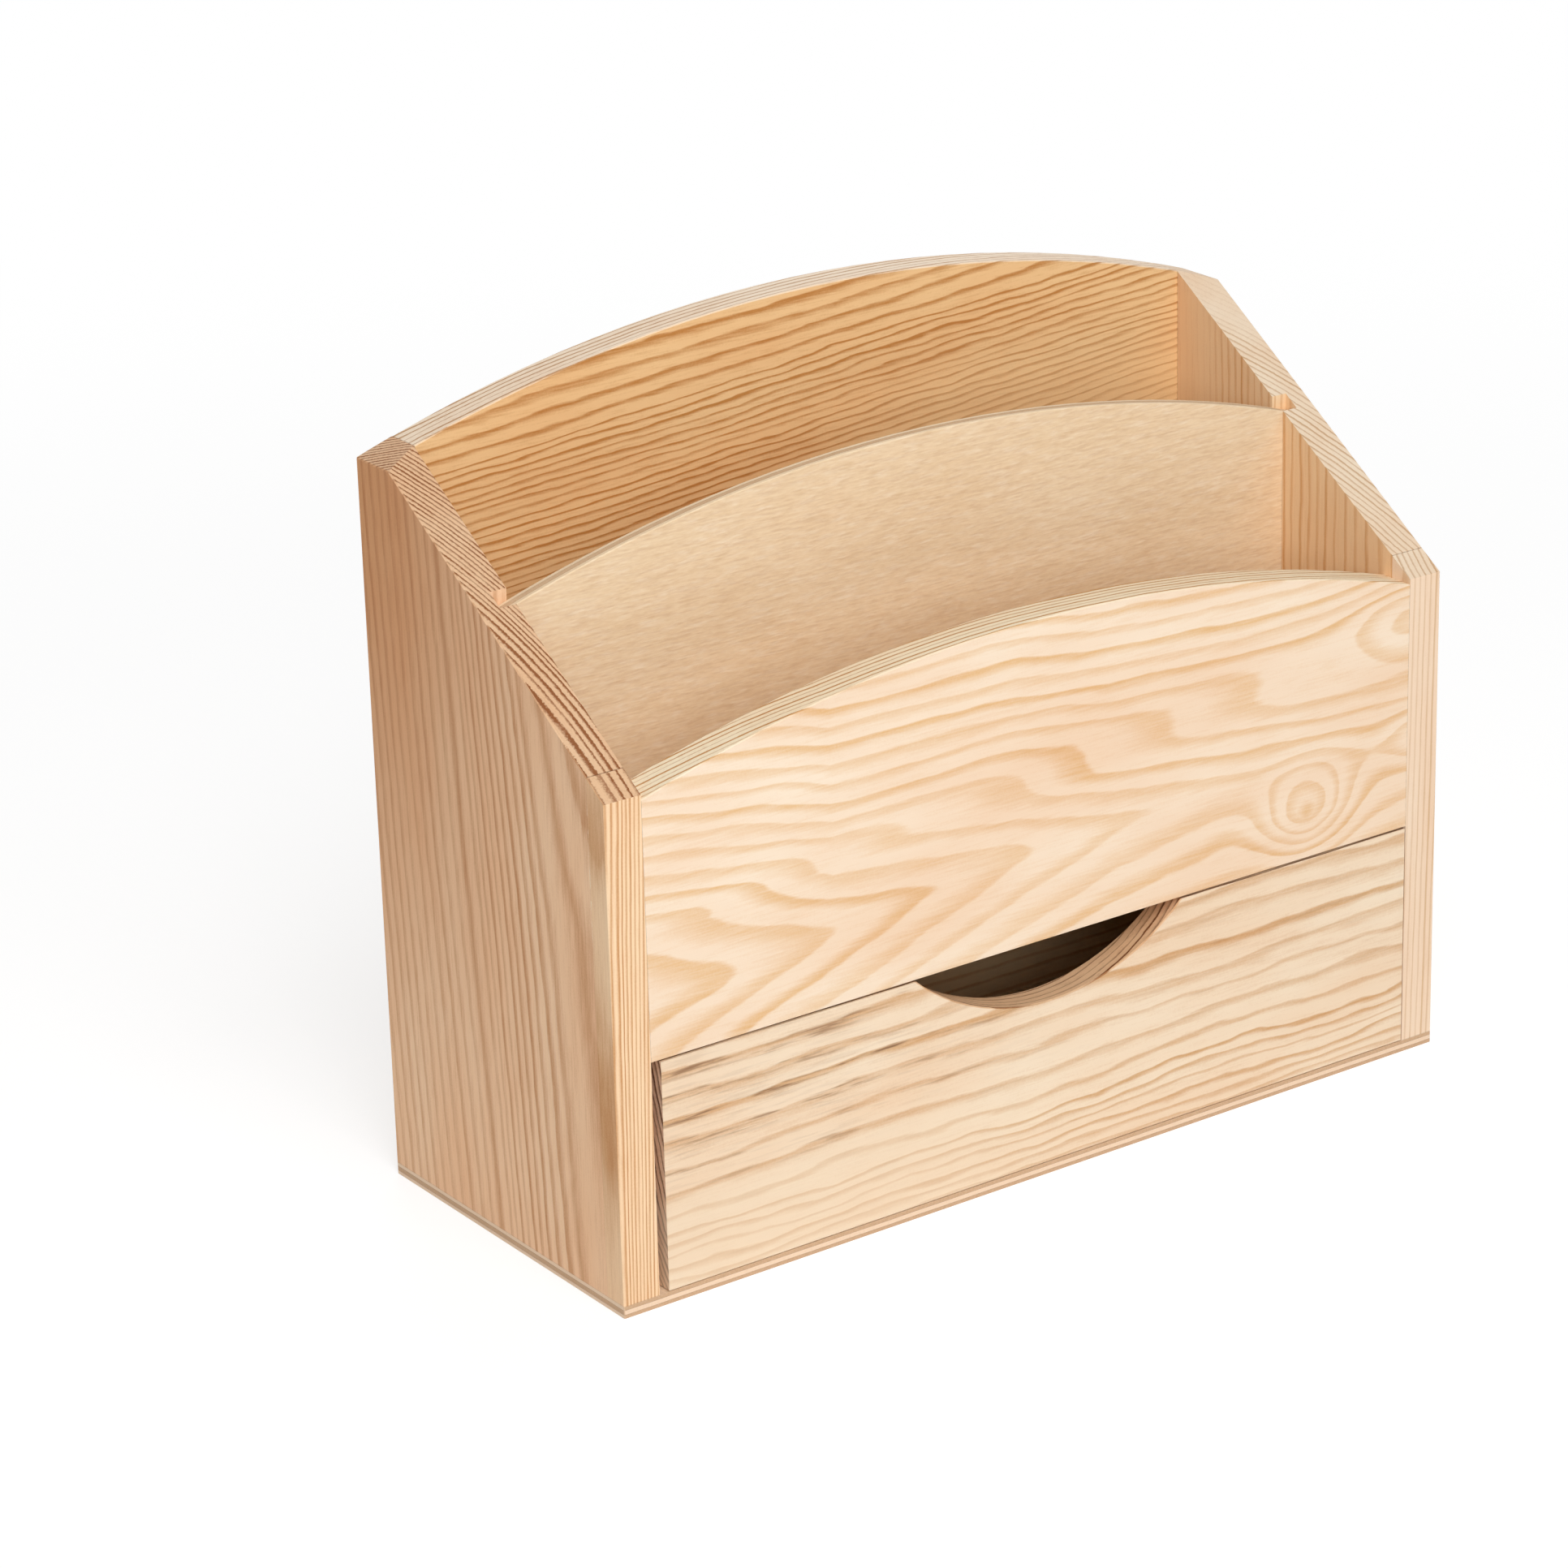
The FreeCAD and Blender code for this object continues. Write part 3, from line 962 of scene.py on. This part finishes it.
@dataclass
class Case:
    """Fixed boards of the sorter. Lengths in millimetres."""

    left_pith: Tuple[float, float] = (-230.0, -48.0)
    right_pith: Tuple[float, float] = (2.5, -82.0)
    right_strip_pith: Tuple[float, float] = (240.0, -70.0)

    def build(self) -> None:
        """Dress every board of the case."""
        self.dress_sides()
        self.dress_strips()
        self.dress_back()
        self.dress_front()
        self.dress_plywood()

    def base_seam(self) -> Seam:
        """Return the line between the base plate and the boards on it."""
        return Seam(Axis.Z, span_of("base_plate", Axis.Z)[1], 0.28, 0.2)

    def dress_sides(self) -> None:
        """Dress the two side boards."""
        joint = span_of("left_front_strip", Axis.Y)[1]
        back = span_of("left_side", Axis.Y)[1]
        ramps = (Ramp(Axis.Z, *span_of("left_side", Axis.Z)), Ramp(Axis.Y, joint, back))
        # Darker towards the top and the back, on the faces that look along X.
        darker_to_top_and_back = Tone(Tint("dec1a6"), ramps, facing=Axis.X)
        left = LogPine(
            "left_side_pine", Tint("fbd7b2"), Tint("c88f5e"), Axis.Z, seed=11.0, onset=0.2, onset_range=0.25,
            end_early=Tint("e7c39e"), end_late=Tint("925c36"), end_contrast=1.4, end_onset=0.1,
            contrast=0.72, fibrous=0.3, paired_from=10.8, paired_fade=0.3, sparse_to=8.0,
            accents=self.left_accents(), tones=(darker_to_top_and_back,),
            seams=(self.base_seam(), Seam(Axis.Y, joint, 0.3, 0.8, 0.1)),
            beads=GlueBeads(joint, 88.0, 128.0), **self.left_growth(),
        )
        right = LogPine(
            "right_side_pine", Tint("f8dab2"), Tint("dcac77"), Axis.Z, seed=27.0,
            end_early=Tint("f2dfc6"), end_late=Tint("cfac86"),
            seams=(self.base_seam(), Seam(Axis.Y, joint, 0.22, 0.6, 0.2)),
            pith=self.right_pith, inner_ring=1.7, ring=1.7, drift=0.01, wave=0.5, contrast=0.85,
            fade_from=87.0, fade_to=93.0,
        )
        dress("left_side", left.material())
        dress("right_side", right.material())

    def left_growth(self) -> Dict[str, Any]:
        """Return how the left side's rings lie; its front strip was sawn from the same plank."""
        return dict(
            pith=self.left_pith, first_ring=105.0, first_share=0.35, ring=1.15, inner_ring=1.9,
            drift=0.04, low_drift=0.012, low_drift_gain=0.0025, early_growth=0.65, wave=0.22,
        )

    def left_accents(self) -> Tuple[Accent, ...]:
        """Return the left side's strongest rings."""
        return (Accent(-0.2, 0.22, 0.65), Accent(0.82, 0.26, 0.9), Accent(1.86, 0.2, 0.85),
                Accent(11.83, 0.3, 0.9))

    def dress_strips(self) -> None:
        """Dress the strips along the front edges of the sides."""
        left = LogPine(
            "left_strip_pine", Tint("fbdcb6"), Tint("cc9560"), Axis.Z, seed=41.0, onset=0.15,
            onset_range=0.4, end_early=Tint("e8c49e"), end_late=Tint("925c36"), end_contrast=1.2,
            end_onset=0.1, sparse_to=14.0, sparse_share=0.52, accents=self.left_accents(),
            seams=(self.base_seam(),), **self.left_growth(),
        )
        right = LogPine(
            "right_strip_pine", Tint("f5dec5"), Tint("dfbf9a"), Axis.Z, seed=53.0,
            end_early=Tint("f2dfc6"), end_late=Tint("cfac86"),
            seams=(self.base_seam(),), pith=self.right_strip_pith, ring=1.8, drift=-0.02, wave=0.25,
        )
        dress("left_front_strip", left.material())
        dress("right_front_strip", right.material())

    def dress_back(self) -> None:
        """Dress the back panel."""
        ends = [Seam(Axis.X, end, 0.25, 0.5) for end in span_of("back_panel", Axis.X)]
        # The early and late colours are darker and yellower than the other boards': painted shade and warm
        # bounce light of the compartment, over the whole board.
        back = LayeredPine(
            "back_pine", Tint("f4cc96"), Tint("c48848"), Axis.X, seed=67.0, onset=0.25, onset_range=0.35,
            top_early=Tint("fdecd5"), top_late=Tint("c0966a"), ripple_share=0.4, fibrous=0.42,
            tones=self.back_tones(), seams=(*ends, self.base_seam()),
            turn_height=188.0, low_ring=2.05, high_ring=4.2, depth_ring=2.0, wave=1.7, tilt=-0.08,
        )
        dress("back_panel", back.material())

    def back_tones(self) -> Tuple[Tone, ...]:
        """Return the broad tones of the back panel.

        Returns:
            The paler patch low on its right half, and its paler rear face: painted light that takes the
            painted shade of the base colours off the rear face.
        """
        painted_light_to_the_rear = Ramp(Axis.Y, *span_of("back_panel", Axis.Y))
        low_right = (Ramp(Axis.X, -30.0, 60.0), Ramp(Axis.Z, 186.0, 168.0))
        return (
            Tone(Tint("fbe0ae"), low_right, Paint.OVER, 0.3),
            # Painted light: the rear face is made paler, which takes the painted shade of the base colours
            # off it.
            Tone(Tint("fbe0c0"), (painted_light_to_the_rear,), Paint.OVER, 0.4, Axis.Y),
        )

    def dress_front(self) -> None:
        """Dress the figured panel above the drawer."""
        ends = [Seam(Axis.X, end, 0.22, 0.35) for end in span_of("front_panel", Axis.X)]
        eyes = (
            Eye(82.0, 74.5, 13.5, 10.8, -3.6, 2.6),
            Eye(119.0, 117.0, 21.0, 12.0, -3.0),
            Eye(119.0, 87.0, 10.0, 8.0, -1.5),
        )
        front = FiguredPine(
            "front_pine", Tint("f7e3cb"), Tint("e6bb84"), Axis.X, seed=5.0, onset=0.1, onset_range=0.35,
            top_early=Tint("fff0d2"), top_late=Tint("c89358"), seams=tuple(ends), eyes=eyes,
            contrast=0.77, feather=0.03, fibrous=0.26,
        )
        dress("front_panel", front.material())

    def dress_plywood(self) -> None:
        """Dress the divider, the compartment floor and the base plate."""
        sheets = (("divider", Axis.Y, Tint("f7e0be"), Tint("cfa982"), Axis.X, 3.0),
                  ("compartment_floor", Axis.Z, Tint("f6ddb8"), Tint("cfa982"), Axis.X, 6.0),
                  ("base_plate", Axis.Z, Tint("f1d6ba"), Tint("c7a17d"), Axis.Y, 9.0))
        for node, axis, veneer, core, grain, seed in sheets:
            sheet = Plywood(node + "_plywood", veneer, core, axis, *span_of(node, axis), grain, seed)
            dress(node, sheet.material())


@dataclass
class Drawer:
    """Boards of the sliding drawer. Lengths in millimetres."""

    notch_radius: float = 60.0
    notch_depth: float = 15.6
    wall_pith: Tuple[float, float] = (12.0, -60.0)

    def build(self) -> None:
        """Dress every board of the drawer."""
        self.dress_front()
        self.dress_walls()
        self.dress_bottom()

    def plain_corner(self) -> Tone:
        """Return the paler wood low on the drawer front's left half."""
        return Tone(Tint("f1dcc0"), (Ramp(Axis.X, 30.0, -50.0), Ramp(Axis.Z, 29.0, 21.0)), Paint.OVER, 0.5)

    def dress_front(self) -> None:
        """Dress the notched front."""
        middle = sum(span_of("drawer_front", Axis.X)) / 2
        centre = span_of("drawer_front", Axis.Z)[1] - self.notch_depth + self.notch_radius
        front = SoiledPine(
            "drawer_front_pine", Tint("f3e0c6"), Tint("d3a674"), Axis.X, seed=83.0, onset=0.25,
            onset_range=0.4, feather=0.05, end_early=Tint("f0d2b8"), end_late=Tint("6a4630"),
            contrast=0.78, scorch_tint=Tint("f0dcc8"), tones=(self.plain_corner(),),
            top_early=Tint("f0dcc2"), top_late=Tint("84593a"), sweep=48.0, ripple_share=0.3,
            turn_height=19.0, low_ring=2.8, high_ring=6.2, depth_ring=-1.9, wave=2.4, tilt=-0.01,
            scorch=Scorch(middle, centre, self.notch_radius),
        )
        dress("drawer_front", front.material())

    def dress_walls(self) -> None:
        """Dress the two sides and the back."""
        wall = LogPine(
            "drawer_wall_pine", Tint("efd2a8"), Tint("d3a26c"), Axis.Y, seed=97.0,
            pith=self.wall_pith, ring=2.4, inner_ring=2.4, wave=0.6,
        ).material()
        for node in ("drawer_left_side", "drawer_right_side"):
            dress(node, wall)
        rear = LayeredPine(
            "drawer_rear_pine", Tint("efd2a8"), Tint("d3a26c"), Axis.X, seed=107.0,
            low_ring=3.6, high_ring=3.6, depth_ring=3.0, wave=1.4,
        )
        dress("drawer_back", rear.material())

    def dress_bottom(self) -> None:
        """Dress the plywood bottom."""
        span = span_of("drawer_bottom", Axis.Z)
        veneer, core = Tint("f6ddb8"), Tint("cfa982")
        sheet = Plywood("drawer_bottom_plywood", veneer, core, Axis.Z, *span, Axis.X, 15.0)
        dress("drawer_bottom", sheet.material())


@dataclass
class Fixings:
    """Dowels and panel pins inside the wood."""

    dowels: Tuple[str, ...] = ("back_panel_dowels", "front_panel_dowels", "drawer_front_dowels")
    pins: Tuple[str, ...] = ("base_pins", "drawer_back_pins", "drawer_bottom_pins")

    def build(self) -> None:
        """Dress the dowels and the pins."""
        beech = LayeredPine(
            "dowel_beech", Tint("e0bd94"), Tint("bf946a"), Axis.X, seed=101.0,
            low_ring=1.1, high_ring=1.1, depth_ring=1.6, wave=0.3,
        ).material()
        steel = Steel().material()
        for node in self.dowels:
            dress(node, beech)
        for node in self.pins:
            dress(node, steel)


@dataclass(frozen=True)
class Lamp:
    """Soft square lamp: its place and its width in millimetres, and its power in watts."""

    name: str
    at: Triple
    width: float
    power: float


@dataclass
class Studio:
    """Camera, lights and the pale floor. Lengths in millimetres unless named otherwise."""

    camera_at: Triple = (-703.9, -946.0, 545.8)
    camera_turn: float = 35.03
    camera_dip: float = 21.23
    camera_roll: float = -1.58
    photo_pixels: float = 1932.0
    focal_pixels: float = 6344.0
    sensor: float = 36.0
    floor_reach_metres: float = 30.0
    floor_gap: float = 0.02
    floor_glow: float = 0.68
    floor_shade: Tint = Tint("aeaeae")
    white_from: float = 350.0
    white_at: float = 900.0
    room_light: float = 0.27
    lamps_aim: Triple = (0.0, 0.0, 100.0)
    lamps: Tuple[Lamp, ...] = (
        Lamp("front_lamp", (-750.0, -1413.0, 580.0), 500.0, 5.9),
        Lamp("ceiling_lamp", (-355.0, -1094.0, 1480.0), 1000.0, 18.2),
        Lamp("rear_lamp", (900.0, 1500.0, 700.0), 1000.0, 8.5),
    )

    def build(self) -> None:
        """Set up everything around the sorter."""
        self.place_camera()
        self.lay_floor()
        self.light_room()

    def place_camera(self) -> None:
        """Put the camera where the photograph was taken from."""
        lens = bpy.data.cameras.new("view")
        lens.sensor_fit = "HORIZONTAL"
        lens.sensor_width = self.sensor
        lens.lens = self.focal_pixels / self.photo_pixels * self.sensor
        lens.clip_start = 0.01
        lens.clip_end = 50.0
        camera = bpy.data.objects.new("view", lens)
        bpy.context.scene.collection.objects.link(camera)
        turn = math.radians(self.camera_turn)
        dip = math.radians(self.camera_dip)
        ahead = Vector((math.sin(turn) * math.cos(dip), math.cos(turn) * math.cos(dip), -math.sin(dip)))
        level = Vector((math.cos(turn), -math.sin(turn), 0.0))
        above = level.cross(ahead)
        roll = math.radians(self.camera_roll)
        right = level * math.cos(roll) + above * math.sin(roll)
        top = right.cross(ahead)
        matrix = Matrix((right, top, -ahead)).transposed().to_4x4()
        matrix.translation = Vector(self.camera_at) * MM
        camera.matrix_world = matrix
        bpy.context.scene.camera = camera

    def lay_floor(self) -> None:
        """Lay a wide pale floor under the sorter."""
        mesh = bpy.data.meshes.new("floor")
        reach = self.floor_reach_metres
        level = -self.floor_gap * MM
        outline = ((-reach, -reach), (reach, -reach), (reach, reach), (-reach, reach))
        corners = [(x, y, level) for x, y in outline]
        mesh.from_pydata(corners, [], [(0, 1, 2, 3)])
        floor = bpy.data.objects.new("floor", mesh)
        bpy.context.scene.collection.objects.link(floor)
        mesh.materials.append(self.floor_material())

    def floor_material(self) -> bpy.types.Material:
        """Return the floor's paint: plain pale for the light, white with a soft shadow for the eye."""
        sketch = Sketch.of_material("pale_floor")
        place = sketch.place()
        grain = sketch.cloud(place, (90.0, 90.0, 90.0), 1.0)
        colour = sketch.paint(grain * 0.02 + 0.5, Tint("f8f8f8"), Tint("fbfbfb"))
        nodes, links = sketch.tree.nodes, sketch.tree.links
        plain = nodes.new("ShaderNodeBsdfDiffuse")
        links.new(colour.socket, plain.inputs["Color"])
        far = (place.x.squared() + place.y.squared()).root().rise(self.white_from, self.white_at)
        glow = nodes.new("ShaderNodeEmission")
        glow.inputs["Color"].default_value = WHITE.linear()
        sketch.feed(glow.inputs["Strength"], far * (1.0 - self.floor_glow) + self.floor_glow)
        shade = nodes.new("ShaderNodeBsdfDiffuse")
        dim = sketch.paint(far, self.floor_shade, Tint("000000"))
        links.new(dim.socket, shade.inputs["Color"])
        seen = nodes.new("ShaderNodeAddShader")
        links.new(glow.outputs[0], seen.inputs[0])
        links.new(shade.outputs[0], seen.inputs[1])
        blend = nodes.new("ShaderNodeMixShader")
        self.seen_directly(sketch, blend.inputs[0])
        links.new(plain.outputs[0], blend.inputs[1])
        links.new(seen.outputs[0], blend.inputs[2])
        output = nodes.new("ShaderNodeOutputMaterial")
        links.new(blend.outputs[0], output.inputs[0])
        return sketch.owner

    def seen_directly(self, sketch: Sketch, socket: bpy.types.NodeSocket) -> None:
        """Feed a socket with 1 where a ray comes from the eye, a reflection or through glass."""
        ray = sketch.tree.nodes.new("ShaderNodeLightPath")
        kinds = ("Is Camera Ray", "Is Glossy Ray", "Is Transmission Ray")
        first, second, third = (Wire(sketch, ray.outputs[kind]) for kind in kinds)
        sketch.feed(socket, first.at_least(second).at_least(third))

    def light_room(self) -> None:
        """Hang the soft lamps and set the room's plain light."""
        for lamp in self.lamps:
            self.hang(lamp)
        world = bpy.data.worlds.new("room")
        bpy.context.scene.world = world
        sketch = Sketch(world)
        tree = sketch.tree
        skies = []
        for strength in (self.room_light, 1.0):
            sky = tree.nodes.new("ShaderNodeBackground")
            sky.inputs["Color"].default_value = WHITE.linear()
            sky.inputs["Strength"].default_value = strength
            skies.append(sky)
        blend = tree.nodes.new("ShaderNodeMixShader")
        self.seen_directly(sketch, blend.inputs[0])
        for sky, socket in zip(skies, blend.inputs[1:]):
            tree.links.new(sky.outputs[0], socket)
        output = tree.nodes.new("ShaderNodeOutputWorld")
        tree.links.new(blend.outputs[0], output.inputs[0])

    def hang(self, lamp: Lamp) -> None:
        """Hang one lamp that shines at the sorter.

        Args:
            lamp: The lamp to hang.
        """
        light = bpy.data.lights.new(lamp.name, "AREA")
        light.energy = lamp.power
        light.size = lamp.width * MM
        fitting = bpy.data.objects.new(lamp.name, light)
        bpy.context.scene.collection.objects.link(fitting)
        fitting.location = Vector(lamp.at) * MM
        aim = Vector(self.lamps_aim) * MM - fitting.location
        fitting.rotation_euler = aim.to_track_quat("-Z", "Y").to_euler()


def main() -> None:
    """Dress the sorter and light it."""
    logging.basicConfig(level=logging.INFO, format="%(message)s")
    Case().build()
    Drawer().build()
    Fixings().build()
    Studio().build()
    bpy.context.scene.view_settings.view_transform = "Standard"


if __name__ == "__main__":
    main()
